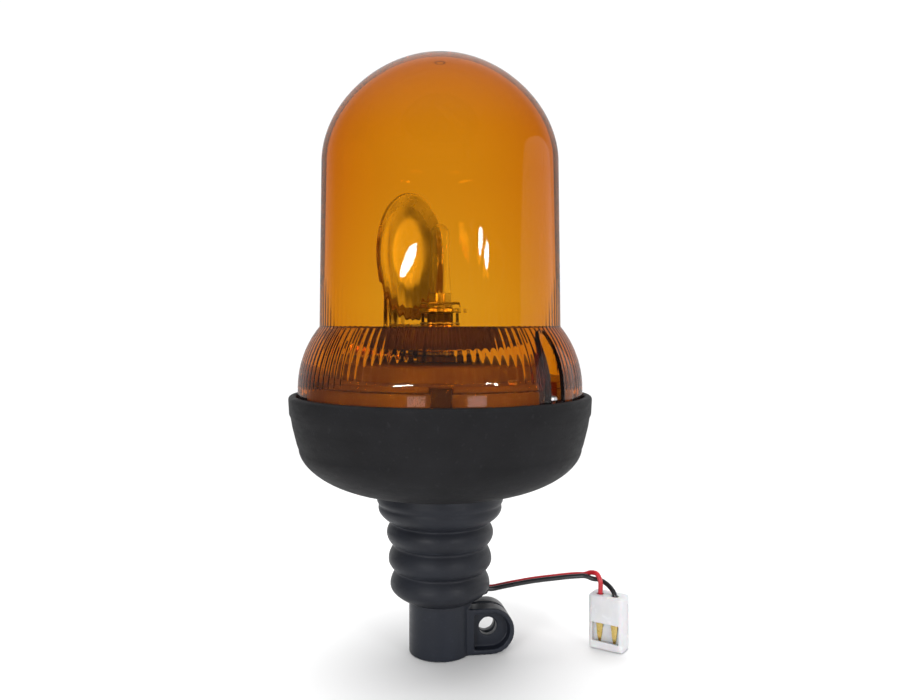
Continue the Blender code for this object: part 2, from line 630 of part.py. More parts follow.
def make_lamp():
    post = [
        (POST_BORE, POST_TOP), (POST_RADIUS, POST_TOP), (POST_RADIUS, 148.0), (16, 148.0),
        (16, DECK_TOP + GAP), (POST_BORE, DECK_TOP + GAP),
    ]
    turned("lamp_post", post, BLACK_PLASTIC, 18)
    holder = [(5.6, BULB_SEAT - GAP), (12, BULB_SEAT - GAP), (12, POST_TOP + GAP), (5.6, POST_TOP + GAP)]
    turned("lamp_holder", holder, STEEL, 18)
    base = [
        (0, 179), (5.2, 179), (5.2, 173), (7.25, 173), (7.25, BULB_SEAT), (5.2, BULB_SEAT), (5.2, 160),
        (0, 160),
    ]
    turned("bulb_base", base, STEEL, 16)
    box("bulb_terminal", (6.3, 0.8, 8), (0, 0, 155.7), BRASS)
    low = 179 + GAP
    glass = [(0, BULB_TOP)]
    glass += arc((0, BULB_TOP - 4.7), 4.7, 67.5, 0, 3)
    glass += [(4.7, low), (3.8, low)]
    glass += arc((0, BULB_TOP - 4.7), 3.8, 0, 67.5, 3)
    glass += [(0, BULB_TOP - 0.9)]
    turned("bulb_glass", glass, CLEAR_GLASS, 16)
    post_height = low + GAP
    wire = [
        (-1.4, 0, post_height), (-1.4, 0, 187), (-1.2, 0, 192.5), (0, 0, 195), (0, 0, 201), (1.2, 0, 203),
        (1.6, 0, 200), (1.6, 0, 191), (1.5, 0, post_height),
    ]
    tube("bulb_filament", wire, 0.35, TUNGSTEN, spacing=3)
    height = 173 + GAP + 0.6
    clip = [
        (10.4, 6.5, 172.1), (9.0, 6.5, height), (4, 6.5, height), (-3, 6.5, height), (-7.4, 4.2, height),
        (-9.0, 0, height), (-7.4, -4.2, height), (-3, -6.5, height), (4, -6.5, height), (9.0, -6.5, height),
        (10.4, -6.5, 172.1),
    ]
    tube("bulb_clip", clip, 0.5, STEEL, spacing=4)


def make_reflector():
    """A paraboloid whose focus is on the lamp's filament, on a bracket behind it."""
    facing = Vector((math.cos(REFLECTOR_FACING), math.sin(REFLECTOR_FACING), 0))
    count = 5
    radii = [REFLECTOR_RADIUS * i / count for i in range(count + 1)]
    inner = [(r, r * r / (4 * REFLECTOR_FOCUS)) for r in radii]
    outer = [(r + REFLECTOR_WALL * 0.9 * r / REFLECTOR_RADIUS, z - REFLECTOR_WALL) for r, z in inner]
    outer[-1] = (outer[-1][0], inner[-1][1] - 0.4)
    dish = turned("reflector", [*inner, *reversed(outer)], MIRROR, 32)
    vertex = Vector((0, 0, FILAMENT_HEIGHT)) - facing * REFLECTOR_FOCUS
    dish.matrix_world = Matrix.Translation(vertex * MM) @ facing.to_track_quat("Z", "Y").to_matrix().to_4x4()

    def behind(distance, height):
        return (*(-facing.xy * distance), height)

    foot_top = RING_TOP + GAP + 1.2
    thickness = 1.2
    foot_centre = behind(21.4, foot_top - thickness / 2)
    bracket = box("reflector_bracket", (14, 16, thickness), foot_centre, STEEL, REFLECTOR_FACING)
    upright_size = (thickness, 16, FILAMENT_HEIGHT + 10 - (foot_top - thickness))
    upright_centre = behind(27.8, foot_top - thickness + upright_size[2] / 2)
    upright = box("bracket_upright", upright_size, upright_centre, turn=REFLECTOR_FACING, helper=True)
    shape(bracket, upright, "UNION")
    along = facing.to_track_quat("Z", "Y").to_matrix().to_4x4()
    rivet_outline = [(0, 2.3), (1.6, 2.3), (1.6, 0), (3, 0), (3, -0.7), (0, -1.2)]
    for number, height in enumerate((FILAMENT_HEIGHT - 6, FILAMENT_HEIGHT + 6), 1):
        hole_at = Matrix.Translation(Vector(behind(27.8, height)) * MM) @ along
        hole = [arc((0, 0), 1.9, 0, 330, 11)]
        shape(bracket, prism(f"rivet_hole_{number}", hole, 4, hole_at, helper=True))
        rivet = turned(f"reflector_rivet_{number}", rivet_outline, STEEL, 12)
        rivet.matrix_world = Matrix.Translation(Vector(behind(28.7, height)) * MM) @ along


# ---------------------------------------------------------------- wiring

def make_inner_wires():
    motor, towards = gear_places()[1:]
    across = Vector((-math.sin(towards), math.cos(towards)))
    feed, back = motor + across * 6, motor - across * 6
    start, low = 88.0, 103.6
    tube("bulb_feed_wire", [(0, 0, start), (0, 0, 110), (0, 0, 135), (0, 0, 151.3)], 1.1, RED_PVC, spacing=18)
    feed_route = [
        (-3, 3.2, start), (-5, 5, 95), (-8.4, 12, 100), (*(feed * 0.75), 99.5), (*(feed * 0.97), 101),
        (*feed, low),
    ]
    tube("motor_feed_wire", feed_route, 1.0, RED_PVC)
    back_route = [
        (-3.6, -1.5, start), (-7, 0, 94), (-16, 6, 97), (*(back * 0.78), 98), (*(back * 0.97), 100.5),
        (*back, low),
    ]
    tube("motor_return_wire", back_route, 1.0, BLACK_PVC)
    lamp_route = [
        (2.4, -2.6, start), (5, -6, 94), (9, -14, 104), (10, -17, 120), (9.5, -17, 134), (9.2, -17, 141.4),
    ]
    tube("lamp_return_wire", lamp_route, 1.0, BLACK_PVC)


def make_leads():
    pair = [Vector(point) for point in PAIR_ROUTE]
    tube("red_lead", [*(p + PAIR_OFFSET for p in pair), *RED_TAIL], CORE_RADIUS, RED_PVC, spacing=5)
    tube("black_lead", [*(p - PAIR_OFFSET for p in pair), *BLACK_TAIL], CORE_RADIUS, BLACK_PVC, spacing=5)


def make_connector():
    """A two-way housing that stands on its mating end, with its blades seen through a window."""
    width, depth, height = CONNECTOR_SIZE
    frame = Matrix.Translation(CONNECTOR_PLACE * MM) @ Matrix.Rotation(CONNECTOR_TURN, 4, "Z")

    def set_in(obj):
        obj.matrix_world = frame @ Matrix.Translation(obj.location)

    housing = box("connector_housing", CONNECTOR_SIZE, (0, 0, height / 2), WHITE_NYLON, bevel=1.0)
    set_in(housing)
    cavity = box("mating_cavity", (width - 3.4, 2.4, 15), (0, -2.9, 6.0), helper=True)
    window = box("window", (width - 4.4, 4, 9.4), (0, -depth / 2, 8.7), helper=True)
    for tool in (cavity, window):
        set_in(tool)
        shape(housing, tool)
    for number, side in enumerate((-1, 1), 1):
        x = side * TERMINAL_SPACING / 2
        channel = box(f"wire_channel_{number}", (3.6, 3.6, 20), (x, WIRE_ROW, 20), helper=True)
        set_in(channel)
        shape(housing, channel)
        half = [(0.5, 3.2), (1.3, 7.0), (1.9, 13.0), (1.45, 14.0), (1.45, 20.6)]
        blade = [*half, *((-across, up) for across, up in reversed(half))]
        at = Matrix.Translation((x * MM, BLADE_ROW * MM, 0))
        upright = frame @ at @ Matrix.Rotation(math.pi / 2, 4, "X")
        prism(f"terminal_{number}", [blade], 0.8, upright, BRASS)


make_pole_socket()
make_bellows()
bowl = make_rubber_bowl()
base, deck = make_base()
make_neck_clamp(base, bowl)
make_lens()
make_motor(deck)
make_idler(deck)
make_turntable()
make_lamp()
make_reflector()
make_inner_wires()
make_leads()
make_connector()

for part in PARTS.objects:
    part.data.shade_smooth()
    part.data.set_sharp_from_angle(angle=math.radians(35))
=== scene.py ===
"""Looks for the rotating warning beacon: an amber dome over a halogen lamp and a turning reflector.

Lengths are in millimetres where a shape is made, and MM turns them into metres.
"""
import json
import math

import bmesh
import bpy
from mathutils import Matrix, Vector

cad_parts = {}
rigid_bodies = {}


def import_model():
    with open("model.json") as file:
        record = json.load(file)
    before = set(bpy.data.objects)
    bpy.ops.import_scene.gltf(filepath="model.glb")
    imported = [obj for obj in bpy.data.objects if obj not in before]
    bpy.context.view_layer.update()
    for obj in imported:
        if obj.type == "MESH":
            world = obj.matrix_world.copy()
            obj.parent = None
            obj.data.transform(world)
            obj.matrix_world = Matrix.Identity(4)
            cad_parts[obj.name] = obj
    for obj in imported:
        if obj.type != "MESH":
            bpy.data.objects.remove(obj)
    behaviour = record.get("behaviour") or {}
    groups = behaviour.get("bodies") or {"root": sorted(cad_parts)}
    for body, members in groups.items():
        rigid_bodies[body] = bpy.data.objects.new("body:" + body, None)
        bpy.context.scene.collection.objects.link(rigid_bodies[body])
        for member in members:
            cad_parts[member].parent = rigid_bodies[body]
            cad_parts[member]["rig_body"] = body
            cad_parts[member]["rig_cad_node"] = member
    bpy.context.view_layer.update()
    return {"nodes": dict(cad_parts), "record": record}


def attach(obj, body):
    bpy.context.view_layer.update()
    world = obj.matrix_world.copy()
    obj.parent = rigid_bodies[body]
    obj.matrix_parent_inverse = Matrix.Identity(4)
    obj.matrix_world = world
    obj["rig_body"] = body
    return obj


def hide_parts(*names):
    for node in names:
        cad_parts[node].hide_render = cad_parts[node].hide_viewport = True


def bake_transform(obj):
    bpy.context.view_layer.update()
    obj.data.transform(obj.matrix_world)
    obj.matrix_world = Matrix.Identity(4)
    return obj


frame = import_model()
NODES = frame["nodes"]
SCENE = bpy.context.scene
MM = 0.001
ROUND = 160  # facets round the large turned pieces


# ---------------------------------------------------------------- node helpers

class Nodes:
    """A short way to add and link shader nodes in one material."""

    def __init__(self, name):
        self.material = bpy.data.materials.new(name)
        self.material.use_nodes = True
        self.tree = self.material.node_tree
        self.tree.nodes.clear()
        self.output = self.add("ShaderNodeOutputMaterial")
        self.place = self.add("ShaderNodeTexCoord").outputs["Object"]

    def add(self, kind, inputs=None, **settings):
        node = self.tree.nodes.new(kind)
        for key, value in settings.items():
            setattr(node, key, value)
        for key, value in (inputs or {}).items():
            if isinstance(value, bpy.types.NodeSocket):
                self.tree.links.new(value, node.inputs[key])
            else:
                node.inputs[key].default_value = value
        return node

    def noise(self, scale, detail=4.0, stretch=(1, 1, 1), roughness=0.5):
        vector = self.add("ShaderNodeMapping", {"Vector": self.place, "Scale": stretch}).outputs[0]
        inputs = {"Vector": vector, "Scale": scale, "Detail": detail, "Roughness": roughness}
        return self.add("ShaderNodeTexNoise", inputs).outputs["Fac"]

    def span(self, value, low, high, start=0.3, end=0.7):
        inputs = {0: value, 1: start, 2: end, 3: low, 4: high}
        return self.add("ShaderNodeMapRange", inputs).outputs[0]

    def mix(self, factor, first, second):
        node = self.add("ShaderNodeMix", data_type="RGBA", blend_type="MIX")
        for socket, value in ((node.inputs[0], factor), (node.inputs[6], first), (node.inputs[7], second)):
            if isinstance(value, bpy.types.NodeSocket):
                self.tree.links.new(value, socket)
            else:
                socket.default_value = (*value, 1.0) if isinstance(value, tuple) else value
        return node.outputs[2]

    def math(self, operation, *values):
        return self.add("ShaderNodeMath", dict(enumerate(values)), operation=operation).outputs[0]

    def bump(self, height, distance, strength=1.0, under=None):
        inputs = {"Height": height, "Distance": distance, "Strength": strength}
        if under is not None:
            inputs["Normal"] = under
        return self.add("ShaderNodeBump", inputs).outputs[0]

    def surface(self, shader):
        self.tree.links.new(shader, self.output.inputs["Surface"])
        return self.material


def moulded(name, dark, light, roughness, grain=900, depth=0.00006, specular=0.5, coat=0.0,
            subsurface=0.0, patch=45, edge_wear_and_highlight=None):
    """Moulded plastic or rubber: a fine eroded grain, slow colour changes, scuffs and, if asked, sharp edges lighter in
    patches, partly as wear and partly as a painted highlight.
    """
    n = Nodes(name)
    broad = n.noise(patch, 5.0)
    fine = n.noise(grain, 3.0)
    colour = n.mix(n.span(broad, 0.0, 1.0), dark, light)
    speck = n.span(n.noise(grain * 0.45, 2.0), 0.0, 0.35, 0.62, 0.75)
    colour = n.mix(speck, colour, tuple(min(1.0, c * 1.5 + 0.004) for c in light))
    if edge_wear_and_highlight:
        # painted highlight with some wear: sharp edges and crests made lighter in patches
        edge = n.add("ShaderNodeNewGeometry").outputs["Pointiness"]
        wear_and_highlight_mask = n.math("MULTIPLY", n.span(edge, 0.0, 1.0, 0.52, 0.60), n.span(n.noise(160, 6.0), 0.0, 0.8, 0.4, 0.65))
        colour = n.mix(wear_and_highlight_mask, colour, edge_wear_and_highlight)
    scuff = n.span(n.noise(120, 8.0, (1, 1, 4), 0.7), -0.06, 0.08)
    rough = n.math("ADD", n.span(broad, roughness - 0.05, roughness + 0.05), scuff)
    bump = n.bump(fine, depth, 0.9, n.bump(broad, 0.0004, 0.25))
    inputs = {
        "Base Color": colour, "Roughness": rough, "Normal": bump, "Specular IOR Level": specular,
        "Coat Weight": coat, "Coat Roughness": 0.25,
    }
    if subsurface:
        inputs.update({"Subsurface Weight": subsurface, "Subsurface Scale": 0.003})
    return n.surface(n.add("ShaderNodeBsdfPrincipled", inputs).outputs[0])


def metal(name, dark, light, roughness, scratch=0.3, tarnish=None, stretch=(1, 1, 1), grain=700):
    """Plated or bare metal with fine drawn lines, uneven gloss and, if asked, tarnish."""
    n = Nodes(name)
    lines = n.noise(grain, 6.0, stretch, 0.65)
    broad = n.noise(90, 4.0)
    colour = n.mix(n.span(broad, 0.0, 1.0), dark, light)
    if tarnish:
        colour = n.mix(n.span(n.noise(260, 7.0, roughness=0.7), 0.0, 0.7, 0.52, 0.72), colour, tarnish)
    rough = n.math("ADD", n.span(lines, roughness * 0.8, roughness * 1.25), n.span(broad, -0.03, 0.05))
    inputs = {
        "Base Color": colour, "Metallic": 1.0, "Roughness": rough, "Normal": n.bump(lines, 0.00002, scratch),
    }
    return n.surface(n.add("ShaderNodeBsdfPrincipled", inputs).outputs[0])


def clear(name, ior, shadow, roughness=0.0, absorb=None, density=0.0, ripple=0.0):
    """Glass or clear plastic that light also passes through to what is inside."""
    n = Nodes(name)
    inputs = {"Base Color": (1, 1, 1, 1), "Roughness": roughness, "IOR": ior, "Transmission Weight": 1.0}
    if ripple:
        inputs["Normal"] = n.bump(n.noise(70, 3.0), ripple, 0.5)
    body = n.add("ShaderNodeBsdfPrincipled", inputs)
    shader = body.outputs[0]
    if absorb:
        # the skirt is handled more than the dome, so it is very slightly hazier
        height = n.add("ShaderNodeSeparateXYZ", {0: n.place}).outputs["Z"]
        haze = n.span(height, 0.02, 0.0, 0.130, 0.168)
        dust = n.math("MULTIPLY", haze, n.span(n.noise(55, 5.0), 0.7, 1.2))
        n.tree.links.new(n.math("SUBTRACT", 1.0, dust), body.inputs["Transmission Weight"])
        plain = {"Color": (1, 1, 1, 1), "Roughness": roughness, "IOR": ior}
        bent = n.add("ShaderNodeBsdfRefraction", plain).outputs[0]
        dull = n.math("ADD", n.span(height, 0.62, 0.72, 0.140, 0.168), n.span(height, 0.0, -0.30, 0.235, 0.290))
        shader = n.add("ShaderNodeMixShader", {0: dull, 1: shader, 2: bent}).outputs[0]
        volume = n.add("ShaderNodeVolumeAbsorption", {"Color": (*absorb, 1.0), "Density": density})
        n.tree.links.new(volume.outputs[0], n.output.inputs["Volume"])
    through = n.add("ShaderNodeBsdfTransparent", {"Color": (*shadow, 1.0)})
    path = n.add("ShaderNodeLightPath").outputs["Is Shadow Ray"]
    return n.surface(n.add("ShaderNodeMixShader", {0: path, 1: shader, 2: through.outputs[0]}).outputs[0])


def rim_painted_shade(name):
    """The dish's outer band: a dark painted shade low down, and plated like the mirror higher up."""
    n = Nodes(name)
    height = n.add("ShaderNodeSeparateXYZ", {0: n.place}).outputs["Z"]
    plated = n.span(n.math("ADD", height, n.math("MULTIPLY", n.noise(90, 4.0), 0.006)), 0.0, 1.0, 0.205, 0.218)
    # bare: painted shade, the dark purplish non-metal colour given to the lower part of the rim
    bare = n.mix(n.span(n.noise(45, 5.0), 0.0, 1.0), (0.16, 0.11, 0.12), (0.22, 0.16, 0.17))
    inputs = {
        "Base Color": n.mix(plated, bare, (0.93, 0.93, 0.92)), "Metallic": plated,
        "Roughness": n.span(n.noise(160, 5.0), 0.24, 0.32), "Normal": n.bump(n.noise(700, 3.0), 0.00003, 0.7),
    }
    return n.surface(n.add("ShaderNodeBsdfPrincipled", inputs).outputs[0])


# ---------------------------------------------------------------- materials

BOWL = moulded("bowl_rubber", (0.011, 0.011, 0.0118), (0.016, 0.016, 0.0175), 0.6, 1100, 0.00007, 0.08,
               edge_wear_and_highlight=(0.026, 0.026, 0.027))
BELLOWS = moulded("bellows_rubber", (0.010, 0.011, 0.015), (0.014, 0.016, 0.022), 0.48, 1300, 0.00005, 0.24,
                  edge_wear_and_highlight=(0.026, 0.030, 0.038))
SOCKET = moulded("socket_nylon", (0.009, 0.011, 0.017), (0.013, 0.016, 0.024), 0.38, 1500, 0.00004, 0.28,
                 edge_wear_and_highlight=(0.035, 0.038, 0.048))
PLASTIC = moulded("black_plastic", (0.012, 0.009, 0.008), (0.020, 0.015, 0.014), 0.42, 800, 0.00005, 0.5)
GREY = moulded("grey_plastic", (0.12, 0.112, 0.11), (0.18, 0.17, 0.165), 0.45, 800, 0.00005, 0.4)
# painted shade: the gear is coloured dark so that it reads as the shaded band inside the skirt
GEAR_PAINTED_SHADE = moulded("gear_plastic", (0.038, 0.028, 0.025), (0.058, 0.044, 0.038), 0.38, 500, 0.00003, 0.5)
NYLON = moulded("white_nylon", (0.60, 0.61, 0.63), (0.68, 0.68, 0.69), 0.36, 420, 0.00004, 0.5, subsurface=0.25,
                patch=110)
RED_WIRE = moulded("red_pvc", (0.42, 0.012, 0.02), (0.55, 0.02, 0.03), 0.34, 900, 0.00004, 0.5, coat=0.15, patch=140)
BLACK_WIRE = moulded("black_pvc", (0.008, 0.008, 0.009), (0.014, 0.014, 0.016), 0.3, 900, 0.00004, 0.5, coat=0.15,
                     patch=140)
STEEL = metal("zinc_steel", (0.50, 0.50, 0.52), (0.66, 0.66, 0.66), 0.30, 0.4, (0.38, 0.34, 0.28))
BRASS = metal("brass", (0.62, 0.44, 0.13), (0.80, 0.62, 0.24), 0.26, 0.4, (0.42, 0.30, 0.12))
TUNGSTEN = metal("tungsten", (0.30, 0.28, 0.27), (0.42, 0.40, 0.38), 0.35)
# the dish rim, with painted shade on its lower part
RIM_PAINTED_SHADE = rim_painted_shade("rim_plating_painted_shade")
CHROME = metal("mirror_plating", (0.90, 0.90, 0.88), (0.95, 0.95, 0.94), 0.14, 0.2, stretch=(1, 1, 1), grain=160)
AMBER = clear("amber_lens", 1.45, (0.91, 0.68, 0.27), 0.012, (0.908, 0.722, 0.0), 1150.0, 0.00004)
QUARTZ = clear("clear_quartz", 1.46, (0.97, 0.97, 0.97))

BY_SLOT = {
    "socket_nylon": SOCKET, "bellows_rubber": BELLOWS, "bowl_rubber": BOWL, "black_plastic": PLASTIC,
    "grey_plastic": GREY, "amber_lens": AMBER, "gear_plastic": GEAR_PAINTED_SHADE, "mirror": CHROME, "steel": STEEL, "brass": BRASS,
    "clear_glass": QUARTZ, "tungsten": TUNGSTEN, "red_pvc": RED_WIRE, "black_pvc": BLACK_WIRE, "white_nylon": NYLON,
}
SLOT_OF = {part["node"]: part["material_slot"] for part in frame["record"]["subparts"]}
BODY_OF = {node: body for body, nodes in frame["record"]["behaviour"]["bodies"].items() for node in nodes}


# ---------------------------------------------------------------- shape helpers

def new_object(name, verts, faces):
    mesh = bpy.data.meshes.new(name)
    mesh.from_pydata([Vector(v) * MM for v in verts], [], faces)
    form = bmesh.new()
    form.from_mesh(mesh)
    bmesh.ops.recalc_face_normals(form, faces=form.faces)
    form.to_mesh(mesh)
    form.free()
    obj = bpy.data.objects.new(name, mesh)
    SCENE.collection.objects.link(obj)
    return obj


def smooth(obj, angle=35):
    obj.data.shade_smooth()
    obj.data.set_sharp_from_angle(angle=math.radians(angle))
    return obj


def lathe(name, outline, steps=ROUND, centre=(0, 0), wave=None):
    """A closed solid of revolution. The outline is a ring of (radius, height), or runs from axis to axis."""
    verts, faces, rings = [], [], []
    for radius, height in outline:
        if radius < 1e-6:
            rings.append([len(verts)] * steps)
            verts.append((centre[0], centre[1], height))
            continue
        rings.append(list(range(len(verts), len(verts) + steps)))
        for i in range(steps):
            angle = 2 * math.pi * i / steps
            r = radius + (wave(radius, height, angle) if wave else 0)
            verts.append((centre[0] + r * math.cos(angle), centre[1] + r * math.sin(angle), height))
    pairs = list(zip(rings, rings[1:]))
    if outline[0][0] > 0:
        pairs.append((rings[-1], rings[0]))
    for a, b in pairs:
        for i in range(steps):
            j = (i + 1) % steps
            corners = list(dict.fromkeys((a[i], b[i], b[j], a[j])))
            if len(corners) > 2:
                faces.append(corners)
    return smooth(new_object(name, verts, faces))


def eased(outline, size, closed=True):
    """The outline with its corners rounded."""
    result, count = [], len(outline)
    for i, corner in enumerate(outline):
        here = Vector(corner)
        before, after = Vector(outline[i - 1]) - here, Vector(outline[(i + 1) % count]) - here
        end = not closed and i in (0, count - 1)
        if end or min(before.length, after.length) < 1e-6 or before.angle(after) > math.radians(155):
            result.append(tuple(here))
            continue
        cut = min(size, before.length * 0.45, after.length * 0.45)
        start, stop = here + before.normalized() * cut, here + after.normalized() * cut
        for k in range(5):
            t = k / 4
            result.append(tuple(start * (1 - t) ** 2 + here * 2 * t * (1 - t) + stop * t**2))
    return result


def settle(obj):
    """Applies the object's modifiers."""
    mesh = bpy.data.meshes.new_from_object(obj.evaluated_get(bpy.context.evaluated_depsgraph_get()))
    obj.modifiers.clear()
    obj.data = mesh
    return obj


def carve(target, tools, operation="DIFFERENCE"):
    for tool in tools:
        modifier = target.modifiers.new(tool.name, "BOOLEAN")
        modifier.operation = operation
        modifier.solver = "EXACT"
        modifier.object = tool
    settle(target)
    for tool in tools:
        bpy.data.objects.remove(tool)
    return target


def from_curve(name, curve, matrix):
    obj = bpy.data.objects.new(name, curve)
    SCENE.collection.objects.link(obj)
    obj.matrix_world = matrix
    bpy.context.view_layer.update()
    mesh = bpy.data.meshes.new_from_object(obj.evaluated_get(bpy.context.evaluated_depsgraph_get()))
    mesh.transform(matrix)
    bpy.data.objects.remove(obj)
    form = bmesh.new()
    form.from_mesh(mesh)
    bmesh.ops.remove_doubles(form, verts=form.verts, dist=1e-6)
    bmesh.ops.recalc_face_normals(form, faces=form.faces)
    form.to_mesh(mesh)
    form.free()
    mesh.materials.clear()
    obj = bpy.data.objects.new(name, mesh)
    SCENE.collection.objects.link(obj)
    return smooth(obj, 30)


def prism(name, outlines, thickness, matrix, edge=0.0):
    """Flat outlines in the local XY plane, the later ones holes, thickened about it, with rounded edges."""
    curve = bpy.data.curves.new(name, "CURVE")
    curve.dimensions = "2D"
    curve.fill_mode = "BOTH"
    curve.extrude = (thickness / 2 - edge) * MM
    curve.bevel_depth = edge * MM
    curve.bevel_resolution = 2
    curve.offset = -edge * MM
    for outline in outlines:
        spline = curve.splines.new("POLY")
        spline.points.add(len(outline) - 1)
        for point, (x, y) in zip(spline.points, outline):
            point.co = (x * MM, y * MM, 0, 1)
        spline.use_cyclic_u = True
    return from_curve(name, curve, matrix)


def smooth_path(route, spacing):
    """Points about spacing apart on a smooth curve through the route's own points."""
    ends = [2 * Vector(route[0]) - Vector(route[1]), 2 * Vector(route[-1]) - Vector(route[-2])]
    points = [ends[0], *map(Vector, route), ends[1]]
    path = []
    for before, start, end, after in zip(points, points[1:], points[2:], points[3:]):
        count = max(1, round((end - start).length / spacing))
        for i in range(count):
            t = i / count
            path.append(
                0.5
                * (
                    2 * start
                    + (end - before) * t
                    + (2 * before - 5 * start + 4 * end - after) * t**2
                    + (3 * start - before - 3 * end + after) * t**3
                )
            )
    return [*path, points[-2]]


def wire(name, route, radius, spacing=1.0, sides=6):
    """A round wire as a curve object, which keeps its centreline."""
    curve = bpy.data.curves.new(name, "CURVE")
    curve.dimensions = "3D"
    curve.bevel_depth = radius * MM
    curve.bevel_resolution = sides
    curve.use_fill_caps = True
    path = smooth_path(route, spacing)
    spline = curve.splines.new("POLY")
    spline.points.add(len(path) - 1)
    for point, at in zip(spline.points, path):
        point.co = (*(at * MM), 1)
    spline.use_smooth = True
    obj = bpy.data.objects.new(name, curve)
    SCENE.collection.objects.link(obj)
    return obj


def block(name, size, centre, matrix=None):
    """A box, used to cut or join shapes."""
    x, y, z = (s / 2 for s in size)
    verts = [Vector((i * x, j * y, k * z)) + Vector(centre) for i in (-1, 1) for j in (-1, 1) for k in (-1, 1)]
    faces = [(0, 1, 3, 2), (4, 6, 7, 5), (0, 4, 5, 1), (2, 3, 7, 6), (0, 2, 6, 4), (1, 5, 7, 3)]
    obj = new_object(name, verts, faces)
    if matrix:
        obj.data.transform(matrix)
    return obj


def soften(obj, voxel, rounds):
    """Moulded corners: the mesh is rebuilt on a fine grid and relaxed."""
    remesh = obj.modifiers.new("grid", "REMESH")
    remesh.mode = "VOXEL"
    remesh.voxel_size = voxel * MM
    relax = obj.modifiers.new("relax", "SMOOTH")
    relax.factor = 0.5
    relax.iterations = rounds
    settle(obj)
    obj.data.shade_smooth()
    return obj


def finish(obj, material, node, body=None):
    """Gives a piece its material and body, and hides the CAD node it stands for."""
    if isinstance(material, bpy.types.Material):
        obj.data.materials.clear()
        obj.data.materials.append(material)
    if body != "":
        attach(obj, body or BODY_OF[node])
    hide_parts(node)
    return obj


def polar(radius, angle):
    return (radius * math.cos(angle), radius * math.sin(angle))


def arc(centre, radius, start, end, count):
    """count + 1 points on an arc, with its angles in degrees."""
    angles = [math.radians(start + (end - start) * i / count) for i in range(count + 1)]
    return [(centre[0] + radius * math.cos(a), centre[1] + radius * math.sin(a)) for a in angles]


# ---------------------------------------------------------------- camera

camera = bpy.data.objects.new("camera", bpy.data.cameras.new("camera"))
SCENE.collection.objects.link(camera)
camera.location = (0, -0.397, 0.1626)
camera.rotation_euler = (math.pi / 2, 0, 0)
camera.data.lens = 31.6
camera.data.sensor_width = 36
camera.data.shift_x = 0.0111
camera.data.shift_y = -0.0267
camera.data.clip_start = 0.01
SCENE.camera = camera


# ---------------------------------------------------------------- leads

PAIR_OFFSET = Vector((0, 1.31, 0.06))
PAIR_ROUTE = [
    (24.5, 11.95, 27.0), (27.8, 12.9, 26.9), (31.5, 13.4, 27.5), (36.0, 13.5, 28.4), (41.5, 13.3, 29.5),
    (47.0, 12.9, 30.6), (53.0, 12.4, 31.6), (59.0, 11.7, 32.5), (65.0, 10.8, 33.5), (70.5, 9.6, 34.3),
    (74.5, 8.5, 34.7),
]
RED_TAIL = [
    (77.2, 8.7, 36.0), (79.8, 5.6, 36.4), (81.2, 3.7, 33.8), (81.4, 3.5, 30.8), (81.36, 3.75, 28.0),
    (81.36, 3.78, 25.3), (81.36, 3.78, 21.0),
]
BLACK_TAIL = [
    (78.0, 7.2, 33.3), (81.4, 7.0, 32.9), (84.5, 4.9, 31.6), (86.8, 1.7, 29.6), (87.8, -0.1, 27.3),
    (87.9, -0.47, 24.8), (87.9, -0.47, 21.0),
]
pair = [Vector(p) for p in PAIR_ROUTE]
for node, tail, offset, material in (
    ("red_lead", RED_TAIL, PAIR_OFFSET, RED_WIRE), ("black_lead", BLACK_TAIL, -PAIR_OFFSET, BLACK_WIRE),
):
    route = [*(p + offset for p in pair), *tail]
    piece = wire(node + "_core", route, 1.2)
    piece.data.materials.append(material)
    finish(piece, None, node)


# ---------------------------------------------------------------- connector

CONNECTOR = Matrix.Translation(Vector((85.5, 3.0, 0)) * MM) @ Matrix.Rotation(math.radians(-33), 4, "Z")
WIDTH, DEPTH, HEIGHT = 18.4, 11.5, 27.0


def rounded_box(name, size, centre, radius, matrix=None):
    x, y = size[0] / 2, size[1] / 2
    corners = eased([(-x, -y), (x, -y), (x, y), (-x, y)], radius * 1.8)
    at = Matrix.Translation(Vector(centre) * MM)
    return prism(name, [corners], size[2], (matrix or Matrix()) @ at, min(radius, 0.45 * size[2]) * 0.8)


housing = rounded_box("connector_body", (WIDTH - 0.1, DEPTH - 0.1, HEIGHT), (0, 0, HEIGHT / 2), 1.5, CONNECTOR)
cuts = [
    rounded_box("mating_cavity", (WIDTH - 3.4, 2.3, 15), (0, -3.15, 6.0), 0.5, CONNECTOR),
    rounded_box("window", (WIDTH - 4.4, 4, 9.4), (0, -DEPTH / 2, 8.7), 0.4, CONNECTOR),
]
for side in (-1, 1):
    cuts.append(rounded_box(f"channel_{side + 2}", (3.6, 3.6, 20), (side * 3.9, -1.6, 20), 1.2, CONNECTOR))
    cuts.append(block(f"side_groove_{side + 2}", (0.8, 3.0, 16), (side * WIDTH / 2, 0.8, 15), CONNECTOR))
carve(housing, cuts)
ridge = block("latch_ridge", (5.0, 0.5, 7.0), (0, DEPTH / 2 - 0.15, 12.0), CONNECTOR)
carve(housing, [ridge], "UNION")
soften(housing, 0.16, 5)
finish(housing, NYLON, "connector_housing")

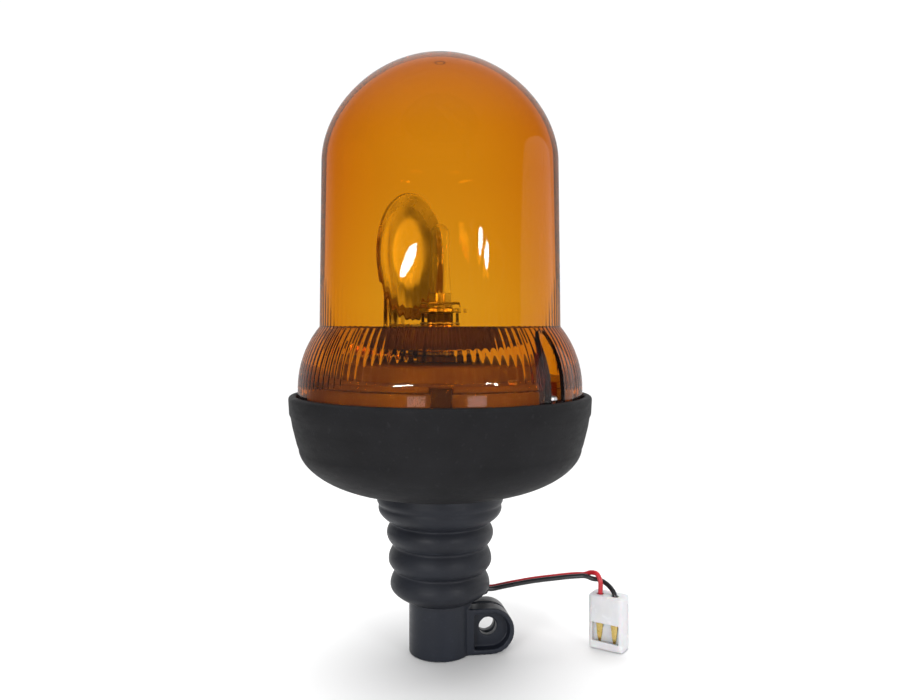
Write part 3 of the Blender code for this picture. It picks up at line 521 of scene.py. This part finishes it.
for number, side in enumerate((-1, 1), 1):
    upright = CONNECTOR @ Matrix.Translation((side * 3.9 * MM, -2.7 * MM, 0)) @ Matrix.Rotation(math.pi / 2, 4, "X")
    half = [(0.5, 3.3), (1.25, 7.0), (1.85, 13.0), (1.4, 14.0), (1.4, 20.5)]
    tab = prism(f"blade_{number}", [[*half, *((-x, z) for x, z in reversed(half))]], 0.8, upright, 0.18)
    hole = lathe("dimple", [(0, 0.3), (0.55, 0.3), (0.75, 1.0), (0, 1.0)], 20)
    hole.data.transform(upright @ Matrix.Translation((0, 8.5 * MM, 0)))
    carve(tab, [hole])
    smooth(tab, 30)
    finish(tab, BRASS, f"terminal_{number}")


# ---------------------------------------------------------------- pole socket, bellows and grommet

EAR_TURN = math.radians(8)
UPRIGHT = Matrix.Rotation(EAR_TURN, 4, "Z") @ Matrix.Rotation(math.pi / 2, 4, "X")


def ear_outline(border):
    return [(8, border), *arc((24.8, 11.3), 11.3 - border, -90, 90, 40), (8, 22.6 - border)]


socket = lathe("clamp_socket", [(0, 40), *eased([(15.5, 40), (15.5, 0)], 0.1, False), (0, 0)], 128)
socket = carve(socket, [prism("ears", [ear_outline(0)], 19, UPRIGHT)], "UNION")
tools = []
for side in (-1, 1):
    at = UPRIGHT @ Matrix.Translation((0, 0, side * 9.5 * MM))
    tools.append(prism(f"recess_{side + 2}", [ear_outline(2.4)[1:-1] + [(15.9, 20.2), (15.9, 2.4)]], 9, at))
tools.append(lathe("bore", [(0, 36), (12.4, 36), (12.4, 0.7), (13.6, -0.5), (0, -0.5)], 128))
slit = block("slit", (40, 2, 27), (0, 0, 0))
slit.data.transform(Matrix.Translation(Vector((*polar(26, EAR_TURN), 11.5)) * MM) @ Matrix.Rotation(EAR_TURN, 4, "Z"))
tools.append(slit)
tools.append(prism("bolt_hole", [arc((23.5, 12.4), 4.5, 0, 354, 59)], 24, UPRIGHT))
carve(socket, tools)
soften(socket, 0.4, 7)
finish(socket, SOCKET, "pole_socket")

CONVOLUTIONS = [
    (31.6, 76.0), (30.5, 74.2), (30.9, 72.4), (24.3, 65.0), (26.7, 59.8), (23.2, 53.4), (25.8, 46.6), (22.2, 40.9),
    (24.9, 34.0), (16.6, 26.2),
]


def bellows_radius(z):
    """Full, round crests that meet in narrow valleys."""
    for (r0, z0), (r1, z1) in zip(CONVOLUTIONS, CONVOLUTIONS[1:]):
        if z1 <= z <= z0:
            t = (z0 - z) / (z0 - z1)
            return r0 + (r1 - r0) * (t * t if r0 > r1 else 1 - (1 - t) ** 2)
    return CONVOLUTIONS[0][0] if z > CONVOLUTIONS[0][1] else CONVOLUTIONS[-1][0]


def bellows_outline(low, high):
    """The outside from high down to low, with its valleys a little rounded."""
    count = round((high - low) / 0.45)
    heights = [high + (low - high) * i / count for i in range(count + 1)]
    return [(sum(bellows_radius(z + d) for d in (-0.45, 0, 0.45)) / 3, z) for z in heights]


SEAM = 55.0
upper = [(31.0, 80.9), (31.2, 78.5), *bellows_outline(SEAM, 77.0), (6, SEAM), (6, 60), (6, 66), (6, 72), (6, 80.9)]
lower = [(6, SEAM), *bellows_outline(26.2, SEAM), (15.8, 26.0), (15.8, 40.3), (6, 40.3), (6, 45), (6, 50)]
top_piece = lathe("bellows_upper", upper, 112)
low_piece = lathe("bellows_lower", lower, 112)
for piece, bodies, start, end in (
    (low_piece, ("mount", "neck"), 40.5, SEAM - 0.5), (top_piece, ("neck", "head"), SEAM + 0.5, 74.5),
):
    smooth(piece, 50)
    finish(piece, BELLOWS, "bellows", "")
    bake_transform(piece)

EXIT = math.radians(26)
outward = Vector((*polar(1, EXIT), 0)).to_track_quat("Z", "Y").to_matrix().to_4x4()
sleeve = [(0, 2.1), *eased([(2.75, 2.1), (3.0, 0.8), (3.0, -2.2)], 0.5, False), (0, -2.2)]
grommet = lathe("lead_boot", sleeve, 40)
grommet.data.transform(Matrix.Translation(Vector((*polar(24.0, EXIT), 27.0)) * MM) @ outward)
finish(grommet, BELLOWS, "lead_grommet")


# ---------------------------------------------------------------- rubber bowl, base and deck

def bowl_curve(offset, count=18):
    points = []
    for i in range(count + 1):
        angle = math.pi / 2 * i / count
        radius = 32.3 + (37.7 - offset) * math.cos(angle) ** (2 / 1.75)
        points.append((radius, 103.0 - (21.8 - offset) * math.sin(angle) ** (2 / 1.75)))
    return points


def bowl_wobble(radius, height, angle):
    """Soft moulded rubber is never quite true."""
    amount = 0.10 if height > 117 else 0.16
    return amount * (math.sin(3 * angle + 0.6 + height * 0.02) + 0.6 * math.sin(5 * angle + 2.1)) * min(1, radius / 60)


lip = eased([(70.9, 118), (70.9, 129), (75.0, 128.6), (74.5, 120), (73.8, 118.4)], 2.2, False)
side = [(73.0, 114.0), (71.9, 109.5), (70.9, 105.5)]
inner_side = [(67.0, 103.0), (67.3, 108), (68.5, 114)]
bowl = lathe(
    "flange_bowl",
    [
        *lip, *side, *bowl_curve(0, 30), (20, 81.2), (9.2, 81.2), (9.2, 84.2),
        *reversed(bowl_curve(3.0, 12)), *inner_side,
    ],
    ROUND, wave=bowl_wobble,
)
smooth(bowl, 60)
finish(bowl, BOWL, "rubber_bowl")

base = lathe(
    "base_shell",
    eased([
        (65.6, 134.0), (65.6, 119.0), (69.3, 119.0), (69.3, 116.6), *bowl_curve(3.4, 10), (9.5, 84.6), (9.5, 87.2),
        *reversed(bowl_curve(6.0, 8)), (60.0, 112), (60.0, 134.0),
    ], 0.5),
)
key = rounded_box("key", (9.0, 4.3, 18.4), (0.5, -64.75, 127.2), 0.4)
finish(key, PLASTIC, "base_body")
deck = lathe(
    "gear_deck",
    eased([
        (5.2, 144.5), (49.2, 144.5), (50, 143.7), (50, 137), (65.4, 137), (65.4, 134.3), (47.2, 134.3), (47.2, 141.8),
        (5.2, 141.8),
    ], 0.4),
)


def pocket(name, half_width, reach, low, high, angle):
    """A slot open outwards with a round inner end."""
    turn = Matrix.Translation((0, 0, (low + high) / 2 * MM)) @ Matrix.Rotation(angle, 4, "Z")
    outline = [(reach, half_width), *arc((66, 0), half_width, 90, 270, 20), (reach, -half_width)]
    return prism(name, [outline], high - low, turn)


SCREW_ANGLES = [math.radians(-42), math.radians(138)]
for target in (base, deck):
    carve(target, [pocket(f"notch_{i}", 8.1, 80, 121.5, 140, a) for i, a in enumerate(SCREW_ANGLES)])
    smooth(target, 30)
carve(deck, [rounded_box("key_notch", (9.8, 6.0, 5.0), (0.5, -65.1, 135.5), 0.3)])
smooth(deck, 30)
finish(base, GREY, "base_body")
finish(deck, GREY, "motor_deck")


# ---------------------------------------------------------------- lens

LENS_WALL = 2.5
FLUTES = 108


def lens_curve(inset, dome_count, skirt_count):
    points = [(0, 297.8 - inset)]
    for i in range(dome_count):
        angle = math.pi / 2 * (1 - (i + 1) / dome_count)
        across = max(math.cos(angle), 0) ** (2 / 1.864)
        up = max(math.sin(angle), 0) ** (2 / 1.864)
        points.append(((58.95 - inset) * across, 243.9 + (53.9 - inset) * up))
    steepest = math.degrees(math.asin(29.9 / 47.7))
    top = points[-1]
    skirt = arc((22.7, 132.5), 47.7 - inset, steepest, 0, skirt_count)
    wall = [(top[0] + (skirt[0][0] - top[0]) * t / 6, top[1] + (skirt[0][1] - top[1]) * t / 6) for t in range(1, 6)]
    return [*points, *wall, *skirt, (70.4 - inset, 127), (70.4 - inset, 122.0)]


def flutes(radius, height, angle):
    """Half-round ribs inside the skirt."""
    if radius > 68.2 or not 133.6 < height < 161.5 or radius < 55:
        return 0
    fade = min(1, (height - 133.6) / 1.2, (161.5 - height) / 1.2)
    return -0.22 * fade * (1 + math.cos(FLUTES * angle))


outer = lens_curve(0, 34, 14)
inner = lens_curve(LENS_WALL, 26, 22)
outer[0:1] = [(0, 297.45), (1.6, 297.45), (2.0, 297.75), (2.6, 297.95), (3.3, 297.72)]
outer = [p for i, p in enumerate(outer) if i < 5 or p[0] > 3.6]


def lens_shell():
    """The dome with ribs on the inner side of its skirt only."""
    split = len(outer)
    verts, faces, rings = [], [], []
    steps = FLUTES * 6
    for index, (radius, height) in enumerate([*outer, *reversed(inner)]):
        if radius < 1e-6:
            rings.append([len(verts)] * steps)
            verts.append((0, 0, height))
            continue
        rings.append(list(range(len(verts), len(verts) + steps)))
        for i in range(steps):
            angle = 2 * math.pi * i / steps
            r = radius + (flutes(radius, height, angle) if index >= split else 0)
            verts.append((r * math.cos(angle), r * math.sin(angle), height))
    for a, b in zip(rings, rings[1:]):
        for i in range(steps):
            j = (i + 1) % steps
            corners = list(dict.fromkeys((a[i], b[i], b[j], a[j])))
            if len(corners) > 2:
                faces.append(corners)
    return new_object("amber_dome", verts, faces)


lens = lens_shell()
envelope = [*lens_curve(0.02, 20, 14), (0, 122.0)]
for number, angle in enumerate(SCREW_ANGLES):
    tower = pocket(f"tower_{number}", 7.5, 72, 122.0, 161, angle)
    carve(tower, [lathe("envelope", envelope, 216)], "INTERSECT")
    carve(lens, [tower], "UNION")
    carve(lens, [pocket(f"pocket_{number}", 5.0, 80, 129.3, 166, angle)])
    carve(lens, [lathe("bore", [(0, 131), (2.1, 131), (2.1, 121), (0, 121)], 32, polar(66, angle))])
smooth(lens, 28)
finish(lens, AMBER, "lens")


# ---------------------------------------------------------------- screws

def pan_screw(name, at, seat, tip, head_radius, head_height, shank_radius, node):
    """A pan head with a cross recess, on a plain shank."""
    top = seat + head_height
    outline = [
        (0, top), (head_radius * 0.45, top - 0.02), (head_radius * 0.72, top - head_height * 0.12),
        (head_radius * 0.93, top - head_height * 0.42), (head_radius, seat + head_height * 0.2), (head_radius, seat),
        (shank_radius, seat), (shank_radius, tip + 0.8), (shank_radius * 0.3, tip), (0, tip),
    ]
    screw = lathe(name, outline, 48, at)
    turn = 0.5 + at[0] * 0.07
    arms = []
    for i in range(2):
        arm = block(f"arm_{i}", (head_radius * 1.15, head_radius * 0.24, head_height * 1.1), (0, 0, 0))
        spin = Matrix.Rotation(turn + i * math.pi / 2, 4, "Z")
        arm.data.transform(Matrix.Translation(Vector((*at, top)) * MM) @ spin)
        arms.append(arm)
    carve(screw, arms)
    smooth(screw, 30)
    return finish(screw, STEEL, node)


for number, angle in enumerate(SCREW_ANGLES, 1):
    pan_screw(f"lens_fixing_{number}", polar(66, angle), 129.6, 113, 3.4, 2.2, 1.6, f"lens_screw_{number}")
for number, degrees in enumerate((60, 180, 300), 1):
    pan_screw(f"deck_fixing_{number}", polar(62.8, math.radians(degrees)), 137.3, 125, 2.5, 1.8, 1.4,
              f"deck_screw_{number}")


# ---------------------------------------------------------------- lamp and reflector

post = [(6.0, 169.0), (8.0, 169.0), (8.0, 148.0), (16, 148.0), (16, 144.8), (6.0, 144.8)]
finish(lathe("post", eased(post, 0.5), 64), PLASTIC, "lamp_post")
holder = [(5.6, 171.2), (12, 171.2), (12, 169.3), (5.6, 169.3)]
finish(lathe("holder_plate", eased(holder, 0.3), 64), STEEL, "lamp_holder")
cap = [(5.2, 179), (5.2, 173), (7.25, 173), (7.25, 171.5), (5.2, 171.5), (5.2, 160)]
finish(lathe("bulb_cap", [(0, 179), *eased(cap, 0.35, False), (0, 160)], 64), STEEL, "bulb_base")
glass = [(0, 214.0), *arc((0, 209.3), 4.7, 82, 0, 12), (4.7, 193), (4.7, 179.3), (3.8, 179.3), (3.8, 193)]
glass += [*arc((0, 209.3), 3.8, 0, 82, 10), (0, 213.1)]
finish(lathe("bulb_envelope", glass, 64), QUARTZ, "bulb_glass")

coil = [(-1.4, 0, 179.6), (-1.4, 0, 186), (-1.3, 0, 192), (-0.8, 0, 194.6)]
for i in range(81):
    angle = math.pi + 2 * math.pi * i / 10
    coil.append((0.75 * math.cos(angle), 0.75 * math.sin(angle), 194.9 + 6.2 * i / 80))
coil += [(0.9, 0, 202.4), (1.5, 0, 202.8), (1.7, 0, 200.5), (1.6, 0, 192), (1.5, 0, 179.6)]
filament = wire("filament_coil", coil, 0.16, 0.3, 3)
filament.data.materials.append(TUNGSTEN)
finish(filament, None, "bulb_filament")

clip_route = [
    (10.4, 6.5, 172.1), (9.0, 6.5, 173.9), (4, 6.5, 173.9), (-3, 6.5, 173.9), (-7.4, 4.2, 173.9), (-9.0, 0, 173.9),
    (-7.4, -4.2, 173.9), (-3, -6.5, 173.9), (4, -6.5, 173.9), (9.0, -6.5, 173.9), (10.4, -6.5, 172.1),
]
clip = wire("retaining_clip", clip_route, 0.5, 0.8, 4)
clip.data.materials.append(STEEL)
finish(clip, None, "bulb_clip")

FACING = Vector((math.cos(math.radians(-30)), math.sin(math.radians(-30)), 0))
ALONG = FACING.to_track_quat("Z", "Y").to_matrix().to_4x4()
DISH, MIRROR_EDGE = 31.5, 26.0


def parabola(start, end, count, back=0.0):
    """The dish's front, or the surface a wall thickness behind it."""
    radii = [start + (end - start) * i / count for i in range(count + 1)]
    return [(r + back * 0.9 * r / DISH, r * r / 100 - back) for r in radii]


def set_on_axis(piece):
    piece.data.transform(Matrix.Translation((Vector((0, 0, 198.0)) - FACING * 25.0) * MM) @ ALONG)
    return smooth(piece, 40)


dish = lathe("mirror_dish", [*parabola(0, MIRROR_EDGE, 32), *reversed(parabola(0, MIRROR_EDGE, 32, 1.1))], ROUND)
finish(set_on_axis(dish), CHROME, "reflector")
edge = DISH * DISH / 100
rim = [(DISH + 0.2, edge + 0.05), (DISH + 0.7, edge - 0.05), (DISH + 1.0, edge - 0.35), (DISH + 1.0, edge - 0.8)]
rim = [*parabola(MIRROR_EDGE + 0.02, DISH, 10), *rim, *reversed(parabola(MIRROR_EDGE + 0.02, DISH, 10, 1.1))]
finish(set_on_axis(lathe("dish_rim", rim, ROUND)), RIM_PAINTED_SHADE, "reflector")

for number, height in enumerate((192, 204), 1):
    outline = [(0, 2.3), (1.6, 2.3), (1.6, 0), (3, -0.1), (2.9, -0.5), (2, -1.0), (0, -1.2)]
    rivet = lathe(f"rivet_{number}", outline, 40)
    at = Vector((*(-FACING.xy * 28.7), height))
    rivet.data.transform(Matrix.Translation(at * MM) @ ALONG)
    smooth(rivet, 40)
    finish(rivet, STEEL, f"reflector_rivet_{number}")

for name, outline, node, material in (
    ("bearing_bush", [(8.4, 163), (9.3, 163), (9.3, 151.3), (12, 151.3), (12, 150.1), (8.4, 150.1)],
     "turntable_bush", BRASS),
    ("washer", [(8.4, 149.7), (12, 149.7), (12, 148.4), (8.4, 148.4)], "thrust_washer", STEEL),
    ("ring_clip", [(8.35, 164.4), (10.6, 164.4), (10.6, 163.4), (8.35, 163.4)], "turntable_clip", STEEL),
):
    finish(lathe(name, eased(outline, 0.2), 64), material, node)


# ---------------------------------------------------------------- what keeps its CAD shape

def refined(node, edge):
    """A copy of a CAD node with rounded edges."""
    obj = NODES[node].copy()
    obj.data = NODES[node].data.copy()
    obj.name = node + "_detail"
    obj.parent = None
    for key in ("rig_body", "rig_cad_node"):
        if key in obj:
            del obj[key]
    SCENE.collection.objects.link(obj)
    form = bmesh.new()
    form.from_mesh(obj.data)
    bmesh.ops.remove_doubles(form, verts=form.verts, dist=1e-6)
    bmesh.ops.dissolve_limit(form, angle_limit=math.radians(1), verts=form.verts, edges=form.edges)
    form.to_mesh(obj.data)
    form.free()
    bevel = obj.modifiers.new("edges", "BEVEL")
    bevel.width = edge * MM
    bevel.segments = 3
    bevel.limit_method = "ANGLE"
    bevel.angle_limit = math.radians(30)
    bevel.harden_normals = False
    settle(obj)
    smooth(obj, 35)
    return finish(obj, BY_SLOT[SLOT_OF[node]], node)


for node in ("turntable_gear", "idler_gear", "motor_pinion"):
    refined(node, 0.12)
for node in ("reflector_bracket", "bulb_terminal"):
    refined(node, 0.25)

for name, obj in NODES.items():
    if not obj.hide_render:
        obj.data.materials.clear()
        obj.data.materials.append(BY_SLOT[SLOT_OF[name]])
        smooth(obj, 40)


# ---------------------------------------------------------------- floor, light and surroundings

def make_floor():
    n = Nodes("pale_floor")
    reach = n.add("ShaderNodeVectorMath", {0: n.place}, operation="LENGTH").outputs["Value"]
    fade = n.span(reach, 0.0, 1.0, 0.16, 0.60)
    tone = n.mix(n.span(n.noise(6, 3.0), 0.0, 1.0), (0.93, 0.93, 0.93), (0.95, 0.95, 0.95))
    matt = n.add("ShaderNodeBsdfPrincipled", {"Base Color": tone, "Roughness": 0.7, "Specular IOR Level": 0.1})
    away = n.add("ShaderNodeBsdfTransparent", {"Color": (1, 1, 1, 1)})
    material = n.surface(n.add("ShaderNodeMixShader", {0: fade, 1: matt.outputs[0], 2: away.outputs[0]}).outputs[0])
    floor = new_object("floor", [(-1800, -1800, -0.3), (1800, -1800, -0.3), (1800, 1800, -0.3), (-1800, 1800, -0.3)],
                       [(0, 1, 2, 3)])
    floor.data.materials.append(material)


# From Min, From Max, To Min and To Max of a Map Range: the direction's Y or Z turned into brightness
RAMP_INPUTS = (1, 2, 3, 4)
BACK_RAMP = (0.38, 0.78, 0.24, 1.05)
ZENITH_RAMP = (0.45, 0.98, 0.0, 0.35)


def make_world():
    """Bright behind the object and a little above it, and dimmer all round, as in a room with one lit wall."""
    world = bpy.data.worlds.new("studio")
    SCENE.world = world
    world.use_nodes = True
    tree = world.node_tree
    tree.nodes.clear()
    place = tree.nodes.new("ShaderNodeTexCoord")
    apart = tree.nodes.new("ShaderNodeSeparateXYZ")
    ramp = tree.nodes.new("ShaderNodeMapRange")
    ramp.interpolation_type = "SMOOTHSTEP"
    for index, value in zip(RAMP_INPUTS, BACK_RAMP):
        ramp.inputs[index].default_value = value
    background = tree.nodes.new("ShaderNodeBackground")
    background.inputs["Color"].default_value = (1, 1, 1, 1)
    output = tree.nodes.new("ShaderNodeOutputWorld")
    tree.links.new(place.outputs["Generated"], apart.inputs[0])
    tree.links.new(apart.outputs["Y"], ramp.inputs[0])
    above = tree.nodes.new("ShaderNodeMapRange")
    above.interpolation_type = "SMOOTHSTEP"
    for index, value in zip(RAMP_INPUTS, ZENITH_RAMP):
        above.inputs[index].default_value = value
    total = tree.nodes.new("ShaderNodeMath")
    tree.links.new(apart.outputs["Z"], above.inputs[0])
    tree.links.new(ramp.outputs[0], total.inputs[0])
    tree.links.new(above.outputs[0], total.inputs[1])
    tree.links.new(total.outputs[0], background.inputs["Strength"])
    tree.links.new(background.outputs[0], output.inputs["Surface"])


def area_light(name, azimuth, elevation, distance, size, power, colour=(1, 1, 1), shiny=True, turn=0):
    """A soft light that faces the object, oval if it is turned. Azimuth runs from the front to the right.

    A light that isn't shiny adds light but is not seen in reflections or through the lens.
    """
    a, e = math.radians(azimuth), math.radians(elevation)
    away = Vector((math.sin(a) * math.cos(e), -math.cos(a) * math.cos(e), math.sin(e)))
    light = bpy.data.lights.new(name, "AREA")
    light.shape = "ELLIPSE" if turn else "RECTANGLE"
    light.size, light.size_y = size
    light.energy = power
    light.color = colour
    obj = bpy.data.objects.new(name, light)
    SCENE.collection.objects.link(obj)
    obj.location = Vector((0, 0, 0.15)) + away * distance
    facing = away.to_track_quat("Z", "Y").to_matrix()
    obj.rotation_euler = (facing @ Matrix.Rotation(math.radians(turn), 3, "Z")).to_euler()
    obj.visible_camera = False
    obj.visible_glossy = shiny
    obj.visible_transmission = shiny
    return obj


make_floor()
make_world()
area_light("top_softbox", 200, 80, 1.4, (1.8, 1.8), 27, shiny=False)
area_light("front_fill", -30, 30, 1.5, (0.9, 0.9), 5.5, shiny=False)
area_light("side_panel", 104, 4, 1.2, (1.2, 0.95), 3.2, turn=1)
area_light("left_lamp", -28, 7.3, 1.5, (0.40, 0.05), 7, turn=9)
area_light("right_lamp", 36.2, 9.0, 1.5, (0.11, 0.06), 2.8, turn=8)
area_light("right_lamp_2", 42.2, 7.7, 1.5, (0.11, 0.06), 2.4, turn=8)
area_light("left_window", -17, -5.2, 0.95, (0.22, 0.07), 0.30, (0.90, 0.84, 1.0))
area_light("right_window", 27, -5.2, 0.95, (0.24, 0.07), 0.40, (0.90, 0.84, 1.0))

SCENE.view_settings.view_transform = "Standard"
